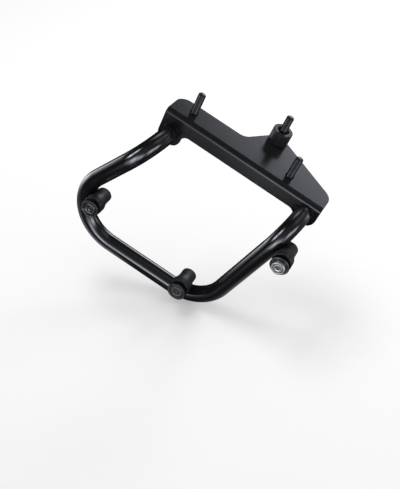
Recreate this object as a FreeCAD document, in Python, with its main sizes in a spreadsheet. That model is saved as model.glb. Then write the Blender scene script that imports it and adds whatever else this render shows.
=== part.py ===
# Pannier frame: side carrier for a motorbike with a folded bracket, a bent tube loop and three pegs.
# Millimetres. +Z is up on the motorbike, +X runs along the bracket and -Y faces outwards, to the bag.
# The origin lies on the bracket's seating face, halfway between its two front screws.
import FreeCAD, Part
import math
import os
import re
import Sketcher
from FreeCAD import Placement, Rotation, Vector

SIZES = {
    # folded bracket
    "sheet": 3.0,
    "bend_outer_radius": 5.0,
    "end_left": 80.0,
    "end_right": 103.5,
    "fold_depth": 19.0,
    "flange_back": 13.0,
    "flange_corner_radius": 12.0,
    "flange_side_radius": 15.0,
    "notch_radius": 12.0,
    "nose_radius": 10.0,
    "nose_left_angle": 58.5,
    "nose_right_angle": 29.0,
    "strip_depth": 18.0,
    "tab_left_width": 26.0,
    "tab_left_drop": 14.0,
    "tab_left_radius": 10.0,
    "tab_right_width": 23.5,
    "tab_right_drop": 13.8,
    "tab_right_radius": 12.0,
    "tab_inner_radius": 8.0,
    # screws, washers and spacer
    "screw_spacing": 115.0,
    "rear_screw_x": 25.0,
    "rear_screw_y": 39.0,
    "thread": 8.0,
    "screw_length": 28.0,
    "rear_screw_length": 37.0,
    "screw_neck_diameter": 7.2,
    "screw_flats": 13.0,
    "screw_head": 5.3,
    "screw_head_slope": 30.0,
    "screw_point": 1.0,
    "hole_play": 1.0,
    "washer_diameter": 16.0,
    "washer_thickness": 1.6,
    "washer_play": 0.4,
    "spacer_diameter": 21.0,
    "spacer_height": 15.0,
    "spacer_play": 4.2,
    "spacer_chamfer": 0.6,
    # bent tube
    "tube_diameter": 18.0,
    "tube_wall": 2.0,
    "stub": 6.0,
    "top_bend_radius": 32.0,
    "low_bend_radius": 47.0,
    "toe_angle": 2.5,
    "tube_left_x": 66.5,
    "tube_left_z": 23.0,
    "tube_right_x": 89.5,
    "tube_right_z": 14.2,
    "corner_left_x": 145.0,
    "corner_left_z": 159.0,
    "corner_right_x": 52.2,
    "corner_right_z": 163.7,
    "tube_weld": 0.9,
    # places of the pegs round the low bends and past the start of the right top bend
    "peg_left_angle": 178.7,
    "peg_low_angle": -73.5,
    "peg_right_rise": 8.4,
    "peg_left_saddle": 0.4,
    "peg_low_saddle": 0.65,
    "peg_right_saddle": 2.0,
    # pegs, measured along their axis from the loop's plane
    "bush_diameter": 16.4,
    "bush_back": 9.0,
    "bush_cone_start": 2.2,
    "bush_cone_end": 9.0,
    "bush_chamfer": 0.6,
    "cope_gap": 0.1,
    "bush_weld": 1.2,
    "collar_diameter": 20.5,
    "collar_start": 12.8,
    "collar_length": 4.2,
    "collar_chamfer": 0.5,
    "neck_diameter": 14.0,
    "neck_length": 4.4,
    "neck_low_length": 5.4,
    "head_diameter": 20.2,
    "head_thickness": 1.5,
    "head_chamfer": 0.3,
    "head_back_chamfer": 0.9,
    "recess_diameter": 17.6,
    "recess_depth": 0.7,
    "cap_diameter": 13.8,
    "cap_height": 0.1,
    "cap_right_height": 5.2,
    "cap_play": 0.2,
    "sink_rim": 0.6,
    "cap_chamfer": 0.25,
    "cap_ring_inner": 4.6,
    "cap_ring_outer": 5.4,
    "cap_ring_depth": 0.4,
    "cap_dish_diameter": 5.6,
    "cap_dish_depth": 0.4,
    "socket_flats": 3.0,
    "socket_depth": 2.2,
    "stud_length": 25.0,
    "stud_point": 1.0,
    "bore_play": 0.4,
    "thread_play": 0.2,
}

doc = FreeCAD.newDocument("PannierFrame")
sheet = doc.addObject("Spreadsheet::Sheet", "Sizes")
for row, (name, number) in enumerate(SIZES.items(), start=1):
    sheet.set(f"A{row}", name)
    sheet.set(f"B{row}", str(number))
    sheet.setAlias(f"B{row}", name)
doc.recompute()


def size(name):
    """Number of one size in the sheet."""
    return float(sheet.get(name))


def bind(target, prop, formula):
    """Bind a property to a formula that names sizes of the sheet."""
    linked = re.sub(r"[a-z]\w*", lambda word: f"Sizes.{word[0]}" if word[0] in SIZES else word[0], formula)
    target.setExpression(prop, linked)


def place(target, x="0", y="0", z="0"):
    """Bind the position of an object."""
    for axis, formula in zip("xyz", (x, y, z)):
        bind(target, f"Placement.Base.{axis}", formula)


def new_body(label):
    body = doc.addObject("PartDesign::Body", label)
    body.Label = label
    return body


def new_sketch(body, role, name, offset=None):
    """Sketch on one of the body's own origin planes, moved along the plane's normal by a formula."""
    sketch = body.newObject("Sketcher::SketchObject", name)
    plane = next(item for item in body.Origin.OriginFeatures if item.Role == role)
    sketch.AttachmentSupport = [(plane, "")]
    sketch.MapMode = "FlatFace"
    if offset:
        bind(sketch, "AttachmentOffset.Base.z", offset)
    return sketch


def pin(sketch, geometry, point, x, y):
    """Tie a point of the sketch to the origin with one formula for each direction."""
    for kind, axis, formula in (("DistanceX", -2, x), ("DistanceY", -1, y)):
        if formula == "0":
            sketch.addConstraint(Sketcher.Constraint("PointOnObject", geometry, point, axis))
        else:
            rule = sketch.addConstraint(Sketcher.Constraint(kind, -1, 1, geometry, point, 1.0))
            bind(sketch, f"Constraints[{rule}]", formula)


def polygon(sketch, corners):
    """Closed outline with straight sides through corners that are pairs of formulas."""
    first = sketch.GeometryCount
    count = len(corners)
    for index in range(count):
        ends = []
        for step in (index, index + 1):
            turn = 2 * math.pi * step / count
            ends.append(Vector(math.cos(turn), math.sin(turn), 0) * size("end_left"))
        sketch.addGeometry(Part.LineSegment(*ends), False)
    for index in range(count):
        follower = first + (index + 1) % count
        sketch.addConstraint(Sketcher.Constraint("Coincident", first + index, 2, follower, 1))
    for index, (x, y) in enumerate(corners):
        pin(sketch, first + index, 1, x, y)


def circle(sketch, diameter, x="0", y="0"):
    """Circle with formulas for its diameter and centre."""
    index = sketch.addGeometry(Part.Circle(Vector(0, 0, 0), Vector(0, 0, 1), 1.0), False)
    rule = sketch.addConstraint(Sketcher.Constraint("Diameter", index, 2.0))
    bind(sketch, f"Constraints[{rule}]", diameter)
    if x == y == "0":
        sketch.addConstraint(Sketcher.Constraint("Coincident", index, 3, -1, 1))
    else:
        pin(sketch, index, 3, x, y)


def pad(body, sketch, name, length, reverse=False):
    feature = body.newObject("PartDesign::Pad", name)
    feature.Profile = sketch
    feature.Reversed = reverse
    bind(feature, "Length", length)
    doc.recompute()
    return feature


def pocket(body, sketch, name, length):
    feature = body.newObject("PartDesign::Pocket", name)
    feature.Profile = sketch
    bind(feature, "Length", length)
    doc.recompute()
    return feature


def turned(label, corners):
    """Body turned about Z from a half outline of radius and height formulas."""
    body = new_body(label)
    sketch = new_sketch(body, "XZ_Plane", f"{label}_outline")
    polygon(sketch, corners)
    feature = body.newObject("PartDesign::Revolution", f"{label}_turned")
    feature.Profile = sketch
    feature.ReferenceAxis = (sketch, ["V_Axis"])
    feature.Angle = 360
    doc.recompute()
    return body


def groove(body, name, corners):
    """Cut turned about Z from a half outline of radius and height formulas."""
    sketch = new_sketch(body, "XZ_Plane", f"{name}_outline")
    polygon(sketch, corners)
    feature = body.newObject("PartDesign::Groove", name)
    feature.Profile = sketch
    feature.ReferenceAxis = (sketch, ["V_Axis"])
    feature.Angle = 360
    doc.recompute()
    return feature


def edges_on(feature, sketch, corners):
    """Names of the straight edges that stand on the given corners of a sketch, square to it."""
    frame = sketch.Placement
    normal = frame.Rotation * Vector(0, 0, 1)
    names = []
    for corner in corners:
        foot = frame * sketch.Geometry[corner].StartPoint
        for number, edge in enumerate(feature.Shape.Edges, start=1):
            if edge.Curve.TypeId != "Part::GeomLine" or edge.Curve.Direction.cross(normal).Length > 1e-6:
                continue
            if (edge.Vertexes[0].Point - foot).cross(normal).Length < 1e-4:
                names.append(f"Edge{number}")
    return names


def round_corners(body, name, sketch, corners, radius):
    """Fillet on the edges that stand on corners of a sketch."""
    tip = body.Tip
    feature = body.newObject("PartDesign::Fillet", name)
    feature.Base = (tip, edges_on(tip, sketch, corners))
    bind(feature, "Radius", radius)
    doc.recompute()
    return feature


def rims(feature, height, radius):
    """Names of the circular edges of this radius at this height."""
    names = []
    for number, edge in enumerate(feature.Shape.Edges, start=1):
        if edge.Curve.TypeId != "Part::GeomCircle":
            continue
        if abs(edge.Curve.Center.z - height) < 1e-4 and abs(edge.Curve.Radius - radius) < 1e-4:
            names.append(f"Edge{number}")
    return names


def chamfer_rims(body, name, places, width):
    """Chamfer on circular edges, given as pairs of height and radius."""
    tip = body.Tip
    feature = body.newObject("PartDesign::Chamfer", name)
    feature.Base = (tip, [rim for height, radius in places for rim in rims(tip, height, radius)])
    bind(feature, "Size", width)
    doc.recompute()
    return feature


def combine(kind, name, base, tool):
    """Boolean of two shapes, Part::Cut or Part::Common."""
    result = doc.addObject(kind, name)
    result.Base = base
    result.Tool = tool
    doc.recompute()
    return result


# Folded bracket: a folded angle with a flange that runs out to the rear screw, and two tabs
def make_bracket():
    body = new_body("bracket_plate")
    fold_edge = "2 * bend_outer_radius - fold_depth"
    section = new_sketch(body, "YZ_Plane", "angle_section", "-end_left")
    polygon(section, [
        ("-fold_depth", "0"),
        ("-fold_depth", "-strip_depth"),
        ("sheet - fold_depth", "-strip_depth"),
        ("sheet - fold_depth", "-sheet"),
        (fold_edge, "-sheet"),
        (fold_edge, "0"),
    ])
    pad(body, section, "angle", "end_left + end_right")

    # both sloping sides are tangent to the nose, which is round about the rear screw
    slopes = "sin(nose_left_angle + nose_right_angle)"
    apex_x = f"rear_screw_x + nose_radius * (cos(nose_left_angle) - cos(nose_right_angle)) / {slopes}"
    apex_y = f"rear_screw_y + nose_radius * (sin(nose_left_angle) + sin(nose_right_angle)) / {slopes}"
    flange = new_sketch(body, "XY_Plane", "flange_outline")
    polygon(flange, [
        ("-end_left", fold_edge),
        ("end_right", fold_edge),
        ("end_right", f"{apex_y} - (end_right - ({apex_x})) * tan(nose_right_angle)"),
        (apex_x, apex_y),
        (f"{apex_x} - ({apex_y} - flange_back) / tan(nose_left_angle)", "flange_back"),
        ("-end_left", "flange_back"),
    ])
    pad(body, flange, "flange", "sheet", reverse=True)

    tabs = []
    for name, outer, inner, drop in (
        ("tab_left", "-end_left", "tab_left_width - end_left", "tube_left_z + tab_left_drop"),
        ("tab_right", "end_right", "end_right - tab_right_width", "tube_right_z + tab_right_drop"),
    ):
        tab = new_sketch(body, "XZ_Plane", f"{name}_outline", "fold_depth")
        polygon(tab, [
            (outer, "-strip_depth"),
            (outer, f"-({drop})"),
            (inner, f"-({drop})"),
            (inner, "-strip_depth"),
        ])
        pad(body, tab, name, "sheet", reverse=True)
        tabs.append(tab)
    left, right = tabs

    round_corners(body, "fold_inside", section, [3], "bend_outer_radius - sheet")
    round_corners(body, "fold_outside", section, [0], "bend_outer_radius")
    round_corners(body, "side_round", flange, [2], "flange_side_radius")
    round_corners(body, "nose_round", flange, [3], "nose_radius")
    round_corners(body, "notch_round", flange, [4], "notch_radius")
    round_corners(body, "back_round", flange, [5], "flange_corner_radius")
    round_corners(body, "tab_left_round", left, [1, 2], "tab_left_radius")
    round_corners(body, "tab_right_round", right, [1], "tab_right_radius")
    round_corners(body, "tab_right_inner_round", right, [2], "tab_inner_radius")
    round_corners(body, "tab_left_throat", left, [3], "tab_inner_radius")
    round_corners(body, "tab_right_throat", right, [3], "tab_inner_radius")

    holes = new_sketch(body, "XY_Plane", "screw_holes")
    for x, y, *_ in SCREWS.values():
        circle(holes, "thread + hole_play", x, y)
    pocket(body, holes, "holes", "2 * sheet")
    return body


# Path of the tube: out of the left tab, down and round the loop, and back to the right tab
def along_loop(x, z):
    """Direction in the loop's plane, which stands off the bracket and toes in to the right."""
    toe = math.radians(size("toe_angle"))
    return Vector(x * math.cos(toe), x * math.sin(toe), z)


def loop_point(x, z):
    stand_off = size("fold_depth") + size("stub") + size("top_bend_radius")
    return Vector(x, x * math.tan(math.radians(size("toe_angle"))) - stand_off, z)


def find_corners():
    face = -size("fold_depth")
    left = Vector(-size("tube_left_x"), face, -size("tube_left_z"))
    right = Vector(size("tube_right_x"), face, -size("tube_right_z"))
    return [
        left,
        loop_point(left.x, left.z),
        loop_point(-size("corner_left_x"), -size("corner_left_z")),
        loop_point(size("corner_right_x"), -size("corner_right_z")),
        loop_point(right.x, right.z),
        right,
    ]


def find_bends(corners):
    """Start, middle, end and centre of the arc that rounds each corner of the path."""
    radii = [size(f"{place}_bend_radius") for place in ("top", "low", "low", "top")]
    bends = []
    for before, corner, after, radius in zip(corners, corners[1:], corners[2:], radii):
        back = (before - corner).normalize()
        ahead = (after - corner).normalize()
        half = back.getAngle(ahead) / 2
        run = radius / math.tan(half)
        centre = corner + (back + ahead).normalize() * (radius / math.sin(half))
        middle = centre + (corner - centre).normalize() * radius
        bends.append((corner + back * run, middle, corner + ahead * run, centre))
    return bends


def make_path(corners, bends):
    edges = []
    last = corners[0]
    for start, middle, end, _ in bends:
        edges.append(Part.LineSegment(last, start).toShape())
        edges.append(Part.Arc(start, middle, end).toShape())
        last = end
    edges.append(Part.LineSegment(last, corners[-1]).toShape())
    path = doc.addObject("Part::Feature", "loop_path")
    path.Shape = Part.Wire(edges)
    return path


def find_pegs(corners, bends):
    """Where each peg's axis meets the loop's plane: beside the tube, as close as its saddle is deep."""
    reach = (size("tube_diameter") + size("bush_diameter")) / 2
    pegs = {}
    for name, bend in (("left", bends[1]), ("low", bends[2])):
        angle = math.radians(size(f"peg_{name}_angle"))
        inside = size("low_bend_radius") - reach + size(f"peg_{name}_saddle")
        pegs[name] = bend[3] + along_loop(math.cos(angle), math.sin(angle)) * inside
    leg = (corners[4] - corners[3]).normalize()
    outwards = along_loop(1, 0).cross(along_loop(0, 1))
    beside = leg.cross(outwards) * (reach - size("peg_right_saddle"))
    pegs["right"] = bends[3][0] + leg * size("peg_right_rise") + beside
    return pegs


def tube_along(path, name, radius):
    """Round bar along the path, from one tab to the other."""
    section = doc.addObject("Part::Circle", f"{name}_section")
    section.Placement.Rotation = Rotation(Vector(1, 0, 0), 90)
    place(section, "-tube_left_x", "-fold_depth", "-tube_left_z")
    bind(section, "Radius", radius)
    bar = doc.addObject("Part::Sweep", name)
    bar.Sections = [section]
    bar.Spine = (path, [f"Edge{number + 1}" for number in range(len(path.Shape.Edges))])
    bar.Solid = True
    doc.recompute()
    return bar


# Fillet weld round one end of the tube, on the tab
def make_tube_weld(label, x, z):
    body = turned(label, [
        ("tube_diameter / 2", "0"),
        ("tube_diameter / 2 + tube_weld", "0"),
        ("tube_diameter / 2", "tube_weld"),
    ])
    body.Placement.Rotation = Rotation(Vector(1, 0, 0), 90)
    place(body, x, "-fold_depth", z)
    return body


# Pegs: welded bush, collar, head with a neck behind it, and the sunk screw that holds them together
def stand_peg(piece, foot):
    """Set a piece turned about Z on a peg's axis, outwards from the loop's plane."""
    toe = Rotation(Vector(0, 0, 1), size("toe_angle"))
    piece.Placement = Placement(foot, toe * Rotation(Vector(1, 0, 0), 90))


def make_bush_blank(label):
    bore = "thread / 2 + thread_play / 2"
    body = turned(label, [
        (bore, "-bush_back"),
        ("bush_diameter / 2", "-bush_back"),
        ("bush_diameter / 2", "bush_cone_start"),
        ("collar_diameter / 2", "bush_cone_end"),
        ("collar_diameter / 2", "collar_start"),
        (bore, "collar_start"),
    ])
    chamfer_rims(body, f"{label}_edge", [(-size("bush_back"), size("bush_diameter") / 2)], "bush_chamfer")
    return body


def make_collar(label):
    bore = "thread / 2 + bore_play / 2"
    body = turned(label, [
        (bore, "collar_start"),
        ("collar_diameter / 2", "collar_start"),
        ("collar_diameter / 2", "collar_start + collar_length"),
        (bore, "collar_start + collar_length"),
    ])
    rim = size("collar_diameter") / 2
    places = [(size("collar_start"), rim), (size("collar_start") + size("collar_length"), rim)]
    chamfer_rims(body, f"{label}_edge", places, "collar_chamfer")
    return body


def make_head(label, neck):
    bore = "thread / 2 + bore_play / 2"
    back = "collar_start + collar_length"
    front = f"{back} + {neck} + head_thickness"
    floor = f"{front} - recess_depth"
    sink = "(cap_diameter + cap_play) / 2"
    body = turned(label, [
        (bore, back),
        ("neck_diameter / 2", back),
        ("neck_diameter / 2", f"{back} + {neck}"),
        ("head_diameter / 2", f"{back} + {neck}"),
        ("head_diameter / 2", front),
        ("recess_diameter / 2", front),
        ("recess_diameter / 2", floor),
        (sink, floor),
        (sink, f"{floor} - sink_rim + cap_play / 2"),
        (bore, f"{floor} - sink_rim - (cap_diameter - thread - bore_play) / 2"),
    ])
    low = size("collar_start") + size("collar_length") + size(neck)
    rim = size("head_diameter") / 2
    chamfer_rims(body, f"{label}_back_edge", [(low, rim)], "head_back_chamfer")
    chamfer_rims(body, f"{label}_edge", [(low + size("head_thickness"), rim)], "head_chamfer")
    return body


def make_cap(label, height, neck):
    """Sunk screw that stands this much out of the recess, with a turned ring and a hexagon socket."""
    floor = f"collar_start + collar_length + {neck} + head_thickness - recess_depth"
    front = f"{floor} + {height}"
    body = turned(label, [
        ("0", f"{floor} - stud_length"),
        ("thread / 2 - stud_point", f"{floor} - stud_length"),
        ("thread / 2", f"{floor} - stud_length + stud_point"),
        ("thread / 2", f"{floor} - sink_rim - (cap_diameter - thread) / 2"),
        ("cap_diameter / 2", f"{floor} - sink_rim"),
        ("cap_diameter / 2", f"{front} - cap_chamfer"),
        ("cap_diameter / 2 - cap_chamfer", front),
        ("cap_ring_outer", front),
        ("cap_ring_outer", f"{front} - cap_ring_depth"),
        ("cap_ring_inner", f"{front} - cap_ring_depth"),
        ("cap_ring_inner", front),
        ("cap_dish_diameter / 2", front),
        ("cap_dish_diameter / 2", f"{front} - cap_dish_depth"),
        ("0", f"{front} - cap_dish_depth"),
    ])
    socket = new_sketch(body, "XY_Plane", f"{label}_socket", f"{front} - cap_dish_depth")
    hexagon(socket, "socket_flats")
    pocket(body, socket, f"{label}_hexagon", "socket_depth")
    return body


def hexagon(sketch, flats):
    """Regular hexagon about the origin, given across its flats."""
    half, corner = f"{flats} / 2", f"{flats} / sqrt(3)"
    polygon(sketch, [
        (corner, "0"),
        (f"{corner} / 2", half),
        (f"-{corner} / 2", half),
        (f"-({corner})", "0"),
        (f"-{corner} / 2", f"-{half}"),
        (f"{corner} / 2", f"-{half}"),
    ])


def make_peg(name, foot, cap_height, neck):
    blank = make_bush_blank(f"bush_{name}_blank")
    near_bush = turned(f"bush_{name}_surround", [
        ("bush_diameter / 2 - bush_weld", "bush_chamfer - bush_back"),
        ("bush_diameter / 2 + bush_weld", "bush_chamfer - bush_back"),
        ("bush_diameter / 2 + bush_weld", "bush_cone_start + bush_weld"),
        ("bush_diameter / 2 - bush_weld", "bush_cone_start + bush_weld"),
    ])
    collar = make_collar(f"peg_{name}_collar")
    head = make_head(f"peg_{name}_head", neck)
    cap = make_cap(f"peg_{name}_cap", cap_height, neck)
    for piece in (blank, near_bush, collar, head, cap):
        stand_peg(piece, foot)
    doc.recompute()

    # the bush is hollowed to saddle the tube, and its weld is what lies near both of them
    bush = combine("Part::Cut", f"peg_{name}_bush", blank, tube_cope)
    between = combine("Part::Common", f"weld_{name}_stock", near_bush, tube_surround)
    off_tube = combine("Part::Cut", f"weld_{name}_off_tube", between, tube_skin)
    weld = combine("Part::Cut", f"weld_peg_{name}", off_tube, blank)
    return [bush, collar, head, cap, weld]


# Screws from below, with their washers, and the spacer over the rear one
def make_screw(label, length, x, y, thread_start):
    """Screw with a plain neck that the thread takes over from at thread_start."""
    body = new_body(label)
    under_washer = "-(sheet + washer_thickness)"
    flats = new_sketch(body, "XY_Plane", f"{label}_flats", under_washer)
    hexagon(flats, "screw_flats")
    pad(body, flats, f"{label}_head", "screw_head", reverse=True)
    bottom = "-(sheet + washer_thickness + screw_head)"
    across_corners = "screw_flats / sqrt(3)"
    groove(body, f"{label}_head_chamfer", [
        ("screw_flats / 2", bottom),
        (across_corners, bottom),
        (across_corners, f"{bottom} + ({across_corners} - screw_flats / 2) * tan(screw_head_slope)"),
    ])
    neck = new_sketch(body, "XY_Plane", f"{label}_neck_section", under_washer)
    circle(neck, "screw_neck_diameter")
    pad(body, neck, f"{label}_neck", f"{thread_start} + sheet + washer_thickness")
    section = new_sketch(body, "XY_Plane", f"{label}_section", thread_start)
    circle(section, "thread")
    pad(body, section, f"{label}_shank", f"{length} - sheet - washer_thickness - {thread_start}")
    top = size(length) - size("sheet") - size("washer_thickness")
    chamfer_rims(body, f"{label}_point", [(top, size("thread") / 2)], "screw_point")
    place(body, x, y)
    return body


def make_ring(label, inner, outer, height):
    body = new_body(label)
    section = new_sketch(body, "XY_Plane", f"{label}_section")
    circle(section, outer)
    circle(section, inner)
    pad(body, section, f"{label}_ring", height)
    return body


def make_washer(label, x, y):
    body = make_ring(label, "thread + washer_play", "washer_diameter", "washer_thickness")
    place(body, x, y, "-(sheet + washer_thickness)")
    return body


def make_spacer(label):
    body = make_ring(label, "thread + spacer_play", "spacer_diameter", "spacer_height")
    rim = size("spacer_diameter") / 2
    chamfer_rims(body, f"{label}_edge", [(0, rim), (size("spacer_height"), rim)], "spacer_chamfer")
    place(body, "rear_screw_x", "rear_screw_y")
    return body


SCREWS = {
    "left": ("-screw_spacing / 2", "0", "screw_length", "0"),
    "right": ("screw_spacing / 2", "0", "screw_length", "0"),
    "rear": ("rear_screw_x", "rear_screw_y", "rear_screw_length", "spacer_height"),
}
pieces = [make_bracket()]

corners = find_corners()
bends = find_bends(corners)
loop_path = make_path(corners, bends)
tube_skin = tube_along(loop_path, "tube_skin", "tube_diameter / 2")
tube_bore = tube_along(loop_path, "tube_bore", "tube_diameter / 2 - tube_wall")
tube_cope = tube_along(loop_path, "tube_cope", "tube_diameter / 2 + cope_gap")
tube_surround = tube_along(loop_path, "tube_surround", "tube_diameter / 2 + bush_weld")
pieces.append(combine("Part::Cut", "loop_tube", tube_skin, tube_bore))
pieces.append(make_tube_weld("weld_tube_left", "-tube_left_x", "-tube_left_z"))
pieces.append(make_tube_weld("weld_tube_right", "tube_right_x", "-tube_right_z"))

# the right peg's screw has a tall round head
for name, foot in find_pegs(corners, bends).items():
    pieces += make_peg(name, foot, "cap_right_height" if name == "right" else "cap_height",
                       "neck_low_length" if name == "low" else "neck_length")

for name, (x, y, length, thread_start) in SCREWS.items():
    pieces.append(make_screw(f"screw_{name}", length, x, y, thread_start))
    pieces.append(make_washer(f"washer_{name}", x, y))
pieces.append(make_spacer("spacer_rear"))

doc.recompute()
for item in doc.Objects:
    if "Invalid" in item.State or "Error" in item.State:
        raise RuntimeError(f"{item.Label} failed: {item.State}")
for piece in pieces:
    if piece.Shape.isNull() or not piece.Shape.isValid() or len(piece.Shape.Solids) != 1:
        raise RuntimeError(f"{piece.Label} is not one valid solid")

os.makedirs("parts", exist_ok=True)
for piece in pieces:
    piece.Shape.exportStep(f"parts/{piece.Label}.step")
    print(f"{piece.Label}: {piece.Shape.Volume:.0f} mm3")
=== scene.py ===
# Pannier frame: a folded bracket, a bent tube loop and three bag pegs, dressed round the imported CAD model.
# It lies in the model's own frame, in metres: +Z up, +X along the bracket, -Y outwards to the bag.
# The dictionaries give lengths in mm and angles in degrees, unless a note says otherwise.
import math
import bmesh
import bpy
from mathutils import Matrix, Quaternion, Vector


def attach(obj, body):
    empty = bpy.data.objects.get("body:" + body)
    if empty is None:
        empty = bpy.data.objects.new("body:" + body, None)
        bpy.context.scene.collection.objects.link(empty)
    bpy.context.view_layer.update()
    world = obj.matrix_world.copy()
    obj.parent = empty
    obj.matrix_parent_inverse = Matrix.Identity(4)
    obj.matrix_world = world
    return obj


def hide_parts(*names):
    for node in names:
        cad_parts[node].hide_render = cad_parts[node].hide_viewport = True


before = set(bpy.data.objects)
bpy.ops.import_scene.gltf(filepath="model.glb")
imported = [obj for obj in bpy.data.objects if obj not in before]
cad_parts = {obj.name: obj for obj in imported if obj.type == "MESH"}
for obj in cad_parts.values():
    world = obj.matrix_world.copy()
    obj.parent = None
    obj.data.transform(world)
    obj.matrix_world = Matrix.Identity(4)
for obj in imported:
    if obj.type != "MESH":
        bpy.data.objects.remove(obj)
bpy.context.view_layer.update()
mm = 0.001
print("frame loaded:", len(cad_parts), "nodes")

camera = {
    "place": (0.11146, -0.66241, 0.46269),      # in metres
    "forward": (-0.11045, 0.73302, -0.67118),
    "roll": 28.61,      # the bracket's right end is held up
    "lens": 59.816,
    "sensor": 36.0,
    "near": 0.01,       # in metres, as is far
    "far": 20,
}


def makeCamera():
    data = bpy.data.cameras.new("camera")
    data.lens, data.sensor_width = camera["lens"], camera["sensor"]
    data.clip_start, data.clip_end = camera["near"], camera["far"]
    seen = bpy.data.objects.new("camera", data)
    bpy.context.scene.collection.objects.link(seen)
    level = Vector(camera["forward"]).to_track_quat("-Z", "Y")
    seen.rotation_mode = "QUATERNION"
    seen.rotation_quaternion = level @ Quaternion((0, 0, 1), math.radians(camera["roll"]))
    seen.location = camera["place"]
    bpy.context.scene.camera = seen


makeCamera()


# Materials

class Value:  # one socket of a finish, arithmetic on it adds Math nodes
    def __init__(self, finish, socket):
        self.finish = finish
        self.socket = socket

    def __add__(self, other):
        return self.finish.math("ADD", self, other)

    __radd__ = __add__

    def __sub__(self, other):
        return self.finish.math("SUBTRACT", self, other)

    def __rsub__(self, other):
        return self.finish.math("SUBTRACT", other, self)

    def __mul__(self, other):
        return self.finish.math("MULTIPLY", self, other)

    __rmul__ = __mul__


class Finish:  # one material or the world, every node of it comes from the method node
    def __init__(self, owner):
        self.material = bpy.data.materials.new(owner) if isinstance(owner, str) else owner
        self.material.use_nodes = True
        self.tree = self.material.node_tree
        self.tree.nodes.clear()
        self.place = None

    @property
    def point(self):  # object coordinates, made once
        if self.place is None:
            self.place = self.node("ShaderNodeTexCoord", {}, {}, "Object")
        return self.place

    def node(self, kind, settings, inputs, output=0):
        made = self.tree.nodes.new(kind)
        for name, setting in settings.items():
            if name == "stops":
                ramp = made.color_ramp.elements
                while len(ramp) < len(setting):
                    ramp.new(0.5)
                for stop, (place, shade) in zip(ramp, setting):
                    stop.position = place
                    stop.color = (*shade, 1)
            else:
                setattr(made, name, setting)
        for name, value in inputs.items():
            if isinstance(value, Value):
                self.tree.links.new(value.socket, made.inputs[name])
            else:
                made.inputs[name].default_value = value
        return Value(self, made.outputs[output]) if made.outputs else None

    def math(self, operation, *values):
        return self.node("ShaderNodeMath", {"operation": operation}, dict(enumerate(values)))

    def noise(self, grain, detail, point=None):  # grain is the size of one lump in mm
        return self.node("ShaderNodeTexNoise", {}, {
            "Vector": point or self.point, "Scale": 1 / (grain * mm), "Detail": detail})

    def range(self, value, low, high, toLow, toHigh):
        return self.node("ShaderNodeMapRange", {"clamp": True}, {
            "Value": value, "From Min": low, "From Max": high, "To Min": toLow, "To Max": toHigh})

    def mix(self, mask, first, second):  # two colours
        return self.node("ShaderNodeMix", {"data_type": "RGBA"}, {0: mask, 6: first, 7: second}, 2)

    def bump(self, height, depth, under=None):  # depth is in mm, for a height of 1
        inputs = {"Height": height, "Distance": depth * mm, "Strength": 1.0}
        return self.node("ShaderNodeBump", {}, {**inputs, **({"Normal": under} if under else {})})

    def along(self, place, axis):  # object coordinates turned and moved until the given axis is Z
        turn = Vector(axis).to_track_quat("Z", "Y").inverted()
        return self.node("ShaderNodeMapping", {"vector_type": "POINT"}, {
            "Vector": self.point, "Location": turn @ -Vector(place), "Rotation": turn.to_euler()})

    def reach(self, point):  # distance from the Z axis
        flat = self.node("ShaderNodeVectorMath", {"operation": "MULTIPLY"}, {0: point, 1: (1, 1, 0)})
        return self.node("ShaderNodeVectorMath", {"operation": "LENGTH"}, {0: flat}, "Value")

    def done(self, colour, roughness, normal, fixed):
        shader = self.node("ShaderNodeBsdfPrincipled", {}, {
            "Base Color": colour, "Roughness": roughness, "Normal": normal, **fixed}, "BSDF")
        self.node("ShaderNodeOutputMaterial", {}, {"Surface": shader})
        return self.material


def grey(level, blue=1.08):  # a faintly cool grey, or with less blue a faintly warm one
    return (level, level * 1.01, level * blue, 1)


# In these finishes a noise is (size of a lump, detail).
# A range is (from low, from high, to low, to high).

powder = {
    "patch": (14, 3),
    "fleck": (0.6, 2),
    "grain": (0.9, 3),
    "wave": (4.5, 1),
    "dark": 0.008,
    "middle": 0.013,
    "light": 0.018,
    "fleckRange": (0.5, 0.75, 0, 1),
    "patchRange": (0.35, 0.7, 0, 0.5),
    "shares": (0.6, 0.4),       # of grain and patch in the roughness
    "roughRange": (0.3, 0.7, 0.17, 0.24),
    "grainDepth": 0.014,
    "waveDepth": 0.03,
    "fixed": {"Specular IOR Level": 0.2},
}


def makePowderCoat():
    coat = Finish("powder_coat")
    patch, fleck, grain, wave = (coat.noise(*powder[name]) for name in ("patch", "fleck", "grain", "wave"))
    dark, middle, light = (grey(powder[name]) for name in ("dark", "middle", "light"))
    colour = coat.mix(coat.range(fleck, *powder["fleckRange"]), dark, light)
    colour = coat.mix(coat.range(patch, *powder["patchRange"]), colour, middle)
    ofGrain, ofPatch = powder["shares"]
    roughness = coat.range(grain * ofGrain + patch * ofPatch, *powder["roughRange"])
    normal = coat.bump(grain, powder["grainDepth"], coat.bump(wave, powder["waveDepth"]))
    return coat.done(colour, roughness, normal, powder["fixed"])


paint = {
    "peel": (2.4, 1),
    "patch": (20, 3),
    "dust": (0.45, 2),
    "dark": 0.007,
    "light": 0.018,
    "dustRange": (0.55, 0.8, 0, 0.7),
    "roughRange": (0.3, 0.7, 0.12, 0.18),
    "dustDepth": 0.004,
    "peelDepth": 0.02,
}


def makeTubePaint():
    coat = Finish("tube_paint")
    peel, patch, dust = (coat.noise(*paint[name]) for name in ("peel", "patch", "dust"))
    colour = coat.mix(coat.range(dust, *paint["dustRange"]), grey(paint["dark"]), grey(paint["light"]))
    roughness = coat.range(patch, *paint["roughRange"])
    normal = coat.bump(dust, paint["dustDepth"], coat.bump(peel, paint["peelDepth"]))
    return coat.done(colour, roughness, normal, {})


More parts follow.
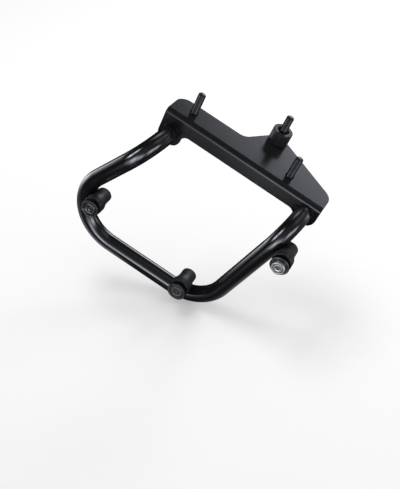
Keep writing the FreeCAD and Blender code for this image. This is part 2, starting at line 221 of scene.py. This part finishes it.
plain = {  # finishes with one noise for the colour and one for roughness and bump
    "black_oxide": {
        "patch": (3, 3),
        "grain": (0.3, 2),
        "dark": 0.008,
        "light": 0.018,
        "patchRange": (0.35, 0.7, 0, 1),
        "roughRange": (0.3, 0.7, 0.16, 0.26),
        "depth": 0.01,
        "fixed": {"Metallic": 0.1, "Specular IOR Level": 0.25},
    },
    "weld_coat": {
        "patch": (3, 2),
        "grain": (0.7, 3),
        "dark": 0.005,
        "light": 0.012,
        "patchRange": (0.35, 0.7, 0, 1),
        "roughRange": (0.3, 0.7, 0.35, 0.5),
        "depth": 0.03,
        "fixed": {"Specular IOR Level": 0.1},
    },
}


def makePlain(name):
    look = plain[name]
    coat = Finish(name)
    patch, grain = coat.noise(*look["patch"]), coat.noise(*look["grain"])
    colour = coat.mix(coat.range(patch, *look["patchRange"]), grey(look["dark"]), grey(look["light"]))
    roughness = coat.range(grain, *look["roughRange"])
    return coat.done(colour, roughness, coat.bump(grain, look["depth"]), look["fixed"])


turned = {  # bands are (radius, grey level), in the collar, head and cap finishes painted shade and highlight rings; marks is the size of a turning mark, rough is (least, most)
    "collar_coat_painted_shade": {
        # darker inside 8.5 mm, where the face lies in the groove under the head: painted shade
        "bands": [(0, 0.006), (8.5, 0.006), (10, 0.016), (12, 0.016)],
        "marks": 0.4,
        "rough": (0.34, 0.46),
        "fixed": {"Specular IOR Level": 0.2},
    },
    "black_turned": {
        # the neck darker, painted shade in the groove behind the head; a painted highlight ring at 9.1 to
        # 9.4 mm beside the recess; darker past 9.6 mm at the outer rim
        "bands": [(0, 0.03), (6.9, 0.03), (7.1, 0.05), (7.4, 0.09), (8.8, 0.09), (9.1, 0.22), (9.4, 0.22),
                  (9.6, 0.05), (10, 0.035), (12, 0.035)],
        "marks": 0.4,
        "rough": (0.26, 0.36),
        "fixed": {"Metallic": 1.0},
    },
    "bush_coat": {
        "bands": [(0, 0.017), (12, 0.017)],
        "marks": 0.6,
        "rough": (0.4, 0.5),
        "fixed": {"Specular IOR Level": 0.25},
    },
    "dark_cap_painted_rings": {
        # bright and dark rings at set radii: painted highlights and shade at the socket, dish, groove and
        # rim
        "bands": [(0, 0.15), (1.3, 0.1), (1.6, 0.22), (2.2, 0.22), (2.5, 0.05), (3, 0.05), (3.2, 0.11),
                  (4.5, 0.11), (4.8, 0.4), (5.3, 0.4), (5.6, 0.1), (6.4, 0.1), (6.9, 0.03)],
        "marks": 0.4,
        "rough": (0.2, 0.32),
        "fixed": {"Metallic": 1.0},
    },
    "bright_cap_painted_rings": {
        # darker in the ring groove and lighter towards the rim: painted shade and a painted highlight
        "bands": [(0, 0.29), (1.2, 0.29), (1.6, 0.33), (2.8, 0.33), (3.4, 0.28), (4.4, 0.28), (4.8, 0.19),
                  (5.3, 0.19), (5.7, 0.38), (6.9, 0.45)],
        "marks": 0.4,
        "rough": (0.32, 0.44),
        "fixed": {"Metallic": 1.0},
    },
    "spacer_black": {
        "bands": [(0, 0.017), (12, 0.017)],
        "marks": 0.5,
        "rough": (0.36, 0.48),
        "fixed": {"Specular IOR Level": 0.2},
    },
}
lathe = {  # what all turned finishes share
    "markDetail": 2,
    "patch": (5, 3),
    "shares": (0.7, 0.3),       # of marks and patch in the dark streaks
    "streakRange": (0.3, 0.7, 0, 0.45),
    "streak": 0.006,
    "roughFrom": (0.3, 0.7),
    "blue": 0.98,
    "depth": 0.02,
}


def makeTurned(name, kind, foot, axis):  # its rings and bands lie about the axis through the foot
    look = turned[kind]
    metal = Finish(name)
    spun = metal.along(foot, axis)
    far = metal.reach(spun)
    high = metal.node("ShaderNodeSeparateXYZ", {}, {0: spun}, "Z")
    ringPoint = metal.node("ShaderNodeCombineXYZ", {}, {"X": far, "Y": high})
    rings = metal.noise(look["marks"], lathe["markDetail"], ringPoint)
    patch = metal.noise(*lathe["patch"])
    full = look["bands"][-1][0]
    stops = [(radius / full, grey(level, lathe["blue"])[:3]) for radius, level in look["bands"]]
    # the grey by radius from the bands, which in some finishes paints shade and highlight rings
    shade = metal.node("ShaderNodeValToRGB", {"stops": stops}, {"Fac": far * (1 / (full * mm))}, "Color")
    ofRings, ofPatch = lathe["shares"]
    streaks = metal.range(rings * ofRings + patch * ofPatch, *lathe["streakRange"])
    colour = metal.mix(streaks, shade, grey(lathe["streak"]))
    roughness = metal.range(rings, *lathe["roughFrom"], *look["rough"])
    return metal.done(colour, roughness, metal.bump(rings, lathe["depth"]), look["fixed"])


powderCoat = makePowderCoat()
tubePaint = makeTubePaint()
blackOxide = makePlain("black_oxide")
weldCoat = makePlain("weld_coat")
print("finishes made")


# Pieces

meshing = {
    "bevelSegments": 2,
    "sharpAngle": 30,       # edges sharper than this are bevelled
    "mergeGap": 0.002,      # between corners of the CAD mesh that are one
    "flatAngle": 0.5,       # between faces of the CAD mesh that are one
    "spinGap": 0.001,       # between corners of a turned shape that are one
    "socketGap": 0.01,      # between the radius of the socket and of a ring that belongs to it
}


def addObject(name, shape, finish):  # shape is a bmesh, already in its place
    mesh = bpy.data.meshes.new(name)
    shape.to_mesh(mesh)
    shape.free()
    mesh.materials.append(finish)
    made = bpy.data.objects.new(name, mesh)
    bpy.context.scene.collection.objects.link(made)
    return made


def newPiece(name, shape, finish, nodes, bevel=0.0):
    for face in shape.faces:
        face.smooth = True
    piece = addObject(name, shape, finish)
    if bevel:
        edge = piece.modifiers.new("edge", "BEVEL")
        edge.width, edge.segments = bevel * mm, meshing["bevelSegments"]
        edge.limit_method, edge.angle_limit = "ANGLE", math.radians(meshing["sharpAngle"])
        even = piece.modifiers.new("even", "WEIGHTED_NORMAL")
        even.mode, even.keep_sharp = "FACE_AREA", False
    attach(piece, "root")
    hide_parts(*nodes)
    return piece


def mergedCopy(node):  # the CAD mesh is loose triangles, so a copy is merged first
    shape = bmesh.new()
    shape.from_mesh(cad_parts[node].data)
    bmesh.ops.remove_doubles(shape, verts=shape.verts, dist=meshing["mergeGap"] * mm)
    bmesh.ops.dissolve_limit(shape, angle_limit=math.radians(meshing["flatAngle"]),
                             verts=shape.verts, edges=shape.edges)
    return shape


def turnProfile(profile, steps):  # profile is (radius, height), from pole to pole or a closed ring
    shape = bmesh.new()
    corners = [shape.verts.new((radius * mm, 0, height * mm)) for radius, height in profile]
    edges = [shape.edges.new(pair) for pair in zip(corners, corners[1:])]
    if profile[0][0] > 0:
        edges.append(shape.edges.new((corners[-1], corners[0])))
    bmesh.ops.spin(shape, geom=corners + edges, cent=(0, 0, 0), axis=(0, 0, 1),
                   angle=math.tau, steps=steps, use_merge=True)
    bmesh.ops.remove_doubles(shape, verts=shape.verts, dist=meshing["spinGap"] * mm)
    bmesh.ops.recalc_face_normals(shape, faces=shape.faces)
    return shape


def setAt(shape, place, axis):  # Z becomes the axis, the origin becomes the place
    turn = Vector(axis).to_track_quat("Z", "Y").to_matrix().to_4x4()
    bmesh.ops.transform(shape, matrix=Matrix.Translation(place) @ turn, verts=shape.verts)


def cutAcross(shape, height, **cleared):  # clear_inner drops what is lower, clear_outer what is higher
    bmesh.ops.bisect_plane(shape, geom=[*shape.verts, *shape.edges, *shape.faces],
                           plane_co=(0, 0, height), plane_no=(0, 0, 1), **cleared)


def closeHoles(shape):
    bmesh.ops.holes_fill(shape, edges=[edge for edge in shape.edges if edge.is_boundary], sides=0)


bracket = {"edge": 0.35}

newPiece("bracketPlate", mergedCopy("bracket_plate"), powderCoat, ["bracket_plate"],
         bracket["edge"])
print("bracket made")

tube = {
    "radius": 9.0,
    "wall": 2.0,
    "segments": 64,
    "corners": [(-66.5, -19, -23), (-66.5, -59.9035, -23), (-145, -63.3308, -159),
                (52.2, -54.7209, -163.7), (89.5, -53.0924, -14.2), (89.5, -19, -14.2)],
    "bends": [32, 47, 47, 32],
    "bendStep": 1.4,        # lengths of one ring of faces
    "straightStep": 12.0,
}


def makeTube():
    corners = [Vector(corner) * mm for corner in tube["corners"]]
    shape = bmesh.new()
    turn = (corners[1] - corners[0]).to_track_quat("Z", "Y").to_matrix().to_4x4()
    bmesh.ops.create_circle(shape, cap_ends=False, radius=tube["radius"] * mm, segments=tube["segments"],
                            matrix=Matrix.Translation(corners[0]) @ turn)
    end = list(shape.edges)
    here = corners[0]
    for index in range(1, len(corners)):
        before = (corners[index] - corners[index - 1]).normalized()
        bend = index < len(corners) - 1
        if bend:
            after = (corners[index + 1] - corners[index]).normalized()
            angle = before.angle(after)
            radius = tube["bends"][index - 1] * mm
            setback = radius * math.tan(angle / 2)
        stop = corners[index] - before * (setback if bend else 0)
        pieces = max(1, round((stop - here).length / (tube["straightStep"] * mm)))
        for _ in range(pieces):
            grown = bmesh.ops.extrude_edge_only(shape, edges=end)["geom"]
            moved = [part for part in grown if isinstance(part, bmesh.types.BMVert)]
            bmesh.ops.translate(shape, vec=(stop - here) / pieces, verts=moved)
            end = [part for part in grown if isinstance(part, bmesh.types.BMEdge)]
        if bend:
            middle = corners[index] + (after - before).normalized() * radius / math.cos(angle / 2)
            steps = round(angle * radius / (tube["bendStep"] * mm))
            ring = list({vert for edge in end for vert in edge.verts})
            spun = bmesh.ops.spin(shape, geom=ring + end, cent=middle, axis=before.cross(after),
                                  angle=angle, steps=steps)["geom_last"]
            end = [part for part in spun if isinstance(part, bmesh.types.BMEdge)]
            here = corners[index] + after * setback
    bmesh.ops.recalc_face_normals(shape, faces=shape.faces)
    piece = newPiece("loopTube", shape, tubePaint, ["loop_tube"])
    wall = piece.modifiers.new("wall", "SOLIDIFY")
    wall.thickness, wall.offset = tube["wall"] * mm, -1


makeTube()
print("tube made")

peg = {  # heights are measured along the axis from the loop's plane
    "axis": (0.043619, -0.999048, 0),
    "feet": {"left": (-94.9025, -61.1435, -113.2144), "low": (24.3892, -55.9351, -145.0140),
             "right": (98.6018, -52.6949, -40.4533)},      # on the loop's plane
    "steps": 96,
    "edge": 0.18,
    "bushEdge": 0.2,
    "bore": 4.2,
}
collar = {"radius": 10.25, "start": 12.8, "end": 17, "chamfer": 0.5}
head = {
    "neck": {"left": 4.4, "low": 5.4, "right": 4.4},        # length behind the head
    "neckRadius": 7,
    "radius": 10.1,
    "thickness": 1.5,
    "chamfer": 0.3,
    "backChamfer": 0.9,
    "recessRadius": 8.8,
    "recessDepth": 0.7,
    "seatRadius": 7,
    "seatRim": 0.5,
}
cap = {
    "height": {"left": 0.1, "low": 0.1, "right": 5.2},      # above the floor of the head's recess
    "radius": 6.9,
    "chamfer": 0.25,
    "sunkRim": 0.6,
    "studRadius": 4,
    "studLength": 25,
    "studPoint": 1,
    "ringOuter": 5.4,
    "ringInner": 4.6,
    "ringDepth": 0.2,
    "dishRadius": 2.8,
    "dishDepth": 0.1,
    "socketFlats": 3.0,
    "socketDepth": 2.6,
}


def collarProfile():
    bore, full, cut = peg["bore"], collar["radius"], collar["chamfer"]
    start, end = collar["start"], collar["end"]
    return [(bore, start), (full - cut, start), (full, start + cut),
            (full, end - cut), (full - cut, end), (bore, end)]


def headProfile(back):  # from the plane where its neck ends
    bore, neck, full = peg["bore"], head["neckRadius"], head["radius"]
    recess, seat = head["recessRadius"], head["seatRadius"]
    front = back + head["thickness"]
    floor = front - head["recessDepth"]
    rim = floor - head["seatRim"]
    return [(bore, collar["end"]), (neck, collar["end"]), (neck, back),
            (full - head["backChamfer"], back), (full, back + head["backChamfer"]),
            (full, front - head["chamfer"]), (full - head["chamfer"], front),
            (recess, front), (recess, floor), (seat, floor), (seat, rim), (bore, rim - (seat - bore))]


def capProfile(floor, front):
    full, cut, rim = cap["radius"], cap["chamfer"], floor - cap["sunkRim"]
    stud, point, foot = cap["studRadius"], cap["studPoint"], floor - cap["studLength"]
    outer, inner, groove = cap["ringOuter"], cap["ringInner"], front - cap["ringDepth"]
    dish, low = cap["dishRadius"], front - cap["dishDepth"]
    half, deep = cap["socketFlats"] / 2, front - cap["socketDepth"]
    return [(0, foot), (stud - point, foot), (stud, foot + point), (stud, rim - (full - stud)),
            (full, rim), (full, front - cut), (full - cut, front),
            (outer, front), (outer, groove), (inner, groove), (inner, front),
            (dish, front), (dish, low), (half, low), (half, deep), (0, deep)]


def makeSocket(shape):  # the rings of the socket become hexagons
    half = cap["socketFlats"] / 2 * mm
    for vert in shape.verts:
        reach = math.hypot(vert.co.x, vert.co.y)
        if abs(reach - half) < meshing["socketGap"] * mm:
            turn = math.atan2(vert.co.y, vert.co.x) % (math.pi / 3) - math.pi / 6
            vert.co.x /= math.cos(turn)
            vert.co.y /= math.cos(turn)


def makePegs():
    for side, foot in peg["feet"].items():
        place = Vector(foot) * mm
        back = collar["end"] + head["neck"][side]
        floor = back + head["thickness"] - head["recessDepth"]
        front = floor + cap["height"][side]
        bright = side == "right"
        matt = makeTurned(f"collar_coat_{side}", "collar_coat_painted_shade", place, peg["axis"])
        black = makeTurned(f"black_turned_{side}", "black_turned", place, peg["axis"])
        painted = makeTurned(f"bush_coat_{side}", "bush_coat", place, peg["axis"])
        capFinish = makeTurned(f"cap_{side}", "bright_cap_painted_rings" if bright else "dark_cap_painted_rings", place, peg["axis"])
        bush = f"peg_{side}_bush"
        newPiece(f"bush_{side}", mergedCopy(bush), painted, [bush], peg["bushEdge"])
        for part, profile, finish, slot in (
                ("collar", collarProfile(), matt, "black_turned"),
                ("head", headProfile(back), black, "black_turned"),
                ("cap", capProfile(floor, front), capFinish, "bright_steel" if bright else "black_oxide")):
            shape = turnProfile(profile, peg["steps"])
            if part == "cap":
                makeSocket(shape)
            setAt(shape, place, peg["axis"])
            newPiece(f"{part}_{side}", shape, finish, [f"peg_{side}_{part}"], peg["edge"])


makePegs()
print("pegs made")

screw = {
    "places": {"left": (-57.5, 0), "right": (57.5, 0), "rear": (25, 39)},
    "starts": {"left": 0, "right": 0, "rear": 15},      # heights between which the thread is made
    "tops": {"left": 23.4, "right": 23.4, "rear": 32.4},
    "pitch": 1.25,
    "crest": 4.0,       # radii
    "root": 3.5,
    "rootEnd": 0.2,     # where root and crest end and start, as shares of the pitch
    "crestStart": 0.5,
    "crestEnd": 0.72,
    "turnSteps": 40,
    "point": 1.0,
    "pointSteps": 4,
    "mergeGap": 0.005,
}
washer = {"inner": 4.2, "outer": 8, "low": -4.6, "high": -3, "steps": 64, "edge": 0.2}


def makeThread(start, top):  # an M8 thread round the Z axis
    pitch, crest, root, point = (screw[name] * mm for name in ("pitch", "crest", "root", "point"))
    start, top = start * mm, top * mm
    turns = math.ceil((top - start) / pitch) + 1
    shape = bmesh.new()
    profile = [(root, 0), (root, screw["rootEnd"]), (crest, screw["crestStart"]),
               (crest, screw["crestEnd"]), (root, 1)]
    corners = [shape.verts.new((radius, 0, start - pitch + share * pitch)) for radius, share in profile]
    edges = [shape.edges.new(pair) for pair in zip(corners, corners[1:])]
    steps = screw["turnSteps"]
    bmesh.ops.spin(shape, geom=corners + edges, cent=(0, 0, 0), axis=(0, 0, 1), dvec=(0, 0, pitch / steps),
                   angle=math.tau * turns, steps=steps * turns)
    bmesh.ops.remove_doubles(shape, verts=shape.verts, dist=screw["mergeGap"] * mm)
    cutAcross(shape, start, clear_inner=True)
    cutAcross(shape, top, clear_outer=True)
    for part in range(screw["pointSteps"]):
        cutAcross(shape, top - point * (part + 1) / screw["pointSteps"])
    for vert in shape.verts:  # the point is a cone
        reach = math.hypot(vert.co.x, vert.co.y)
        limit = crest - point + (top - vert.co.z)
        if reach > limit:
            vert.co.x *= limit / reach
            vert.co.y *= limit / reach
    closeHoles(shape)
    bmesh.ops.recalc_face_normals(shape, faces=shape.faces)
    return shape


def makeScrew(name):  # the CAD screw as far as the thread's start, and the thread
    start = screw["starts"][name]
    shape = mergedCopy(f"screw_{name}")
    cutAcross(shape, start * mm, clear_outer=True)
    closeHoles(shape)
    thread = makeThread(start, screw["tops"][name])
    bmesh.ops.translate(thread, vec=Vector((*screw["places"][name], 0)) * mm, verts=thread.verts)
    joined = bpy.data.meshes.new("thread")
    thread.to_mesh(joined)
    thread.free()
    shape.from_mesh(joined)
    bpy.data.meshes.remove(joined)
    newPiece(f"screw_{name}_threaded", shape, blackOxide, [f"screw_{name}"])


def makeWasher(name):
    inner, outer, low, high = (washer[key] for key in ("inner", "outer", "low", "high"))
    ring = turnProfile([(inner, low), (outer, low), (outer, high), (inner, high)], washer["steps"])
    bmesh.ops.translate(ring, vec=Vector((*screw["places"][name], 0)) * mm, verts=ring.verts)
    newPiece(f"washerRing_{name}", ring, blackOxide, [f"washer_{name}"], washer["edge"])


for screwName in screw["places"]:
    makeScrew(screwName)
for screwName in screw["places"]:
    makeWasher(screwName)

spacer = {"inner": 6.1, "outer": 10.5, "height": 15.0, "chamfer": 0.6, "steps": 96, "edge": 0.2}


def makeSpacer():
    inner, outer, height, cut = (spacer[key] for key in ("inner", "outer", "height", "chamfer"))
    place, up = Vector((*screw["places"]["rear"], 0)) * mm, (0, 0, 1)
    shape = turnProfile([(inner, 0), (outer - cut, 0), (outer, cut), (outer, height - cut),
                         (outer - cut, height), (inner, height)], spacer["steps"])
    setAt(shape, place, up)
    finish = makeTurned("spacer_black", "spacer_black", place, up)
    newPiece("spacerRing", shape, finish, ["spacer_rear"], spacer["edge"])


makeSpacer()
print("screws, washers and spacer made")

bead = {
    "inner": 8.7,
    "height": 0.6,
    "bulge": [(1, 0), (0.92, 0.4), (0.66, 0.7), (0.33, 0.9)],       # out and up, in shares of the height
    "ripples": 17,
    "rippleDepth": 0.12,        # share of the height
    "steps": 170,
}


def makeTubeBead(side, corner):
    tubeRadius, full = tube["radius"], bead["height"]
    bulge = [(tubeRadius + full * out, full * up) for out, up in bead["bulge"]]
    shape = turnProfile([(bead["inner"], 0), *bulge, (bead["inner"], full)], bead["steps"])
    for vert in shape.verts:
        reach = math.hypot(vert.co.x, vert.co.y)
        ripple = abs(math.sin(math.atan2(vert.co.y, vert.co.x) * bead["ripples"] / 2))
        share = 1 - bead["rippleDepth"] * (1 - ripple)
        if reach > tubeRadius * mm:
            near = (tubeRadius * mm + (reach - tubeRadius * mm) * share) / reach
            vert.co.x *= near
            vert.co.y *= near
        vert.co.z *= share
    setAt(shape, Vector(corner) * mm, (0, -1, 0))
    newPiece(f"bead_{side}", shape, weldCoat, [f"weld_tube_{side}"])


def makePegBead(side):
    weld = f"weld_peg_{side}"
    newPiece(f"bead_peg_{side}", mergedCopy(weld), weldCoat, [weld])


makeTubeBead("left", tube["corners"][0])
makeTubeBead("right", tube["corners"][-1])
for pegName in peg["feet"]:
    makePegBead(pegName)
print("weld beads made")


# Floor, world and lights

studio = {  # in metres
    "up": (-0.35895, -0.07947, 0.92997),    # the frame stands on its low right bend, so the floor slopes
    "level": -0.16674,      # height of the floor along that direction, just under the bend
    "floorSize": 6.0,
    "floorColour": (0.8, 0.8, 0.8, 1),
    "floorShine": 0.29,     # the part of its white that the camera sees without any lamp
    "worldFill": 0.5,       # what the white world gives to matt surfaces
    "white": (1, 1, 1, 1),
    "centre": (-0.02, -0.055, -0.10),       # the panels stand round this point
    "shell": 4.0,
    "shellSegments": 32,
    "shellRings": 16,
    "clothLift": 0.0005,    # of the cloth that shows the panels, above the floor
    "panelColour": (0.87, 0.90, 1, 1),
    "panelFall": 0.9,       # how far a panel has faded at its half width, as a power of e
}

# Soft panels that only reflections show: azimuth from +Y towards +X, elevation, half width, brightness.
panels = {
    "front": (178, -4, 13, 12.0),
    "frontRight": (153, 4, 10, 7.0),
    "frontLow": (-160, -16, 9, 2.2),
    "right": (123, 20, 10, 10.8),
    "rightEdge": (103, 25, 8, 10.0),
    "back": (-6, 20, 10, 9.0),
    "backMid": (6, 35, 8, 2.6),
    "highLeft": (-54, 46, 11, 3.6),
    "left": (-76, -20, 9, 7.6),
    "lowLeft": (-112, -56, 14, 1.5),
    "lowRight": (84, -24, 13, 0.6),
    "backRight": (50, 21, 9, 3.3),
    "top": (94, 78, 15, 1.1),
    "leftFront": (-95, -21, 9, 4.2),
    "frontLeft": (-127, 11, 7, 23),
    "frontLeftHigh": (-124, 28, 7, 20),
    "highBack": (26, 62, 9, 1.2),
    "lowFront": (146, -49, 16, 0.44),
    "veilFront": (175, 25, 38, 0.45),
    "veilBack": (60, 32, 30, 0.45),
}


def direction(azimuth, elevation):
    turn, rise = math.radians(azimuth), math.radians(elevation)
    return Vector((math.sin(turn) * math.cos(rise), math.cos(turn) * math.cos(rise), math.sin(rise)))


def stagePiece(name, shape, finish):
    piece = addObject(name, shape, finish)
    return piece


def floorPlane(lift):
    up = Vector(studio["up"])
    shape = bmesh.new()
    bmesh.ops.create_grid(shape, x_segments=1, y_segments=1, size=studio["floorSize"] / 2)
    setAt(shape, up * (studio["level"] + lift), up)
    return shape


def seenDirectly(finish):  # 1 for what the camera sees, also in a reflection or through glass
    kinds = [f"Is {kind} Ray" for kind in ("Camera", "Glossy", "Transmission")]
    seen, mirrored, through = (finish.node("ShaderNodeLightPath", {}, {}, kind) for kind in kinds)
    return seen + mirrored + through


def makeFloor():
    pale = Finish("pale_floor")
    shine = seenDirectly(pale) * studio["floorShine"]
    lit = pale.node("ShaderNodeBsdfDiffuse", {}, {"Color": studio["floorColour"]}, "BSDF")
    own = pale.node("ShaderNodeEmission", {}, {"Color": studio["white"], "Strength": shine}, "Emission")
    both = pale.node("ShaderNodeAddShader", {}, {0: lit, 1: own})
    clear = pale.node("ShaderNodeBsdfTransparent", {}, {})
    under = pale.node("ShaderNodeNewGeometry", {}, {}, "Backfacing")
    seen = pale.node("ShaderNodeMixShader", {}, {0: under, 1: both, 2: clear})  # clear from below
    pale.node("ShaderNodeOutputMaterial", {}, {"Surface": seen})
    stagePiece("floor", floorPlane(0), pale.material)


def makePanels():
    soft = Finish("soft_panels")
    way = soft.node("ShaderNodeVectorMath", {"operation": "SUBTRACT"}, {0: soft.point, 1: studio["centre"]})
    way = soft.node("ShaderNodeVectorMath", {"operation": "NORMALIZE"}, {0: way})
    total = 0
    for azimuth, elevation, width, bright in panels.values():
        near = soft.node("ShaderNodeVectorMath", {"operation": "DOT_PRODUCT"}, {
            0: way, 1: direction(azimuth, elevation)}, "Value")
        fall = studio["panelFall"] / (1 - math.cos(math.radians(width)))
        total += soft.math("EXPONENT", (near - 1) * fall) * bright
    own = soft.node("ShaderNodeEmission", {}, {
        "Color": studio["panelColour"], "Strength": total}, "Emission")
    soft.node("ShaderNodeOutputMaterial", {}, {"Surface": own})
    soft.material.cycles.emission_sampling = "NONE"
    shell = bmesh.new()
    bmesh.ops.create_uvsphere(shell, u_segments=studio["shellSegments"], v_segments=studio["shellRings"],
                              radius=studio["shell"], matrix=Matrix.Translation(studio["centre"]))
    for name, shape in (("panel_shell", shell), ("panel_cloth", floorPlane(studio["clothLift"]))):
        piece = stagePiece(name, shape, soft.material)
        piece.visible_camera = piece.visible_diffuse = piece.visible_shadow = False
        piece.visible_transmission = piece.visible_volume_scatter = False


def makeWorld():
    sky = Finish(bpy.data.worlds.new("studio"))
    strength = sky.range(seenDirectly(sky), 0, 1, studio["worldFill"], 1)
    light = sky.node("ShaderNodeBackground", {}, {
        "Color": studio["white"], "Strength": strength}, "Background")
    sky.node("ShaderNodeOutputWorld", {}, {"Surface": light})
    bpy.context.scene.world = sky.material


lamps = {  # place and size of a square in metres, power
    "key": ((-0.86, 0.08, 0.88), 0.6, 5.2),
    "behind": ((0.16, 1.08, 0.50), 0.5, 5.4),
    "fill": ((0.95, 0.10, 0.55), 0.6, 1.2),
}


def makeLamps():
    for name, (place, size, power) in lamps.items():
        data = bpy.data.lights.new(name, "AREA")
        data.shape, data.size, data.energy = "SQUARE", size, power
        lamp = bpy.data.objects.new(name, data)
        bpy.context.scene.collection.objects.link(lamp)
        lamp.location = place
        lamp.rotation_mode = "QUATERNION"
        lamp.rotation_quaternion = (Vector(studio["centre"]) - Vector(place)).to_track_quat("-Z", "Y")
        lamp.visible_glossy = False      # its reflection is one of the panels


makeFloor()
makePanels()
makeWorld()
makeLamps()
bpy.context.scene.view_settings.view_transform = "Standard"
print("studio made")
